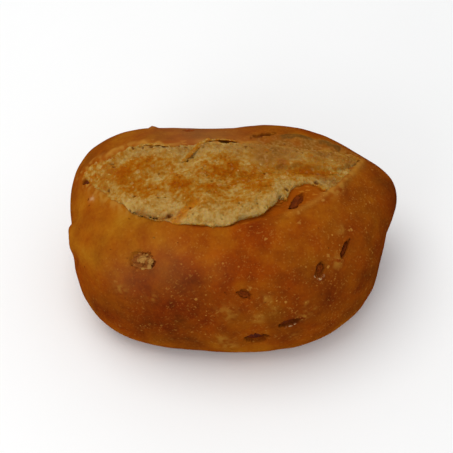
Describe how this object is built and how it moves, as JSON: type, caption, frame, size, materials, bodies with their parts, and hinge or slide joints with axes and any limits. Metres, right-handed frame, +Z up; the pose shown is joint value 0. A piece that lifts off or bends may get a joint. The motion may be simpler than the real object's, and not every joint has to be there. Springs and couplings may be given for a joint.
{
  "type": "fruit bread",
  "caption": "Oval fruit bread roll with a wide torn slash along its top, raisins and a piece of nut set in its browned crust, and a flat base.",
  "frame": {"origin": "centre of the bounding box in plan, at the height of the flat base", "axes": "+X along the roll, towards its more pointed end; -Y is the side with the belly of the slash; +Z up"},
  "size_m": [0.1226, 0.0863, 0.0615],
  "materials": {
    "crust": "satin, golden brown baked crust",
    "raisin": "wrinkled, slightly shiny dark fruit",
    "nut": "matte, toasted"
  },
  "bodies": {
    "root": {"loaf": "crust", "raisin_01": "raisin", "raisin_02": "raisin", "raisin_03": "raisin", "raisin_04": "raisin", "raisin_05": "raisin", "raisin_06": "raisin", "raisin_07": "raisin", "raisin_08": "raisin", "raisin_09": "raisin", "raisin_10": "raisin", "raisin_11": "raisin", "raisin_12": "raisin", "raisin_13": "raisin", "raisin_14": "raisin", "raisin_15": "raisin", "nut_piece": "nut"}
  },
  "joints": []
}
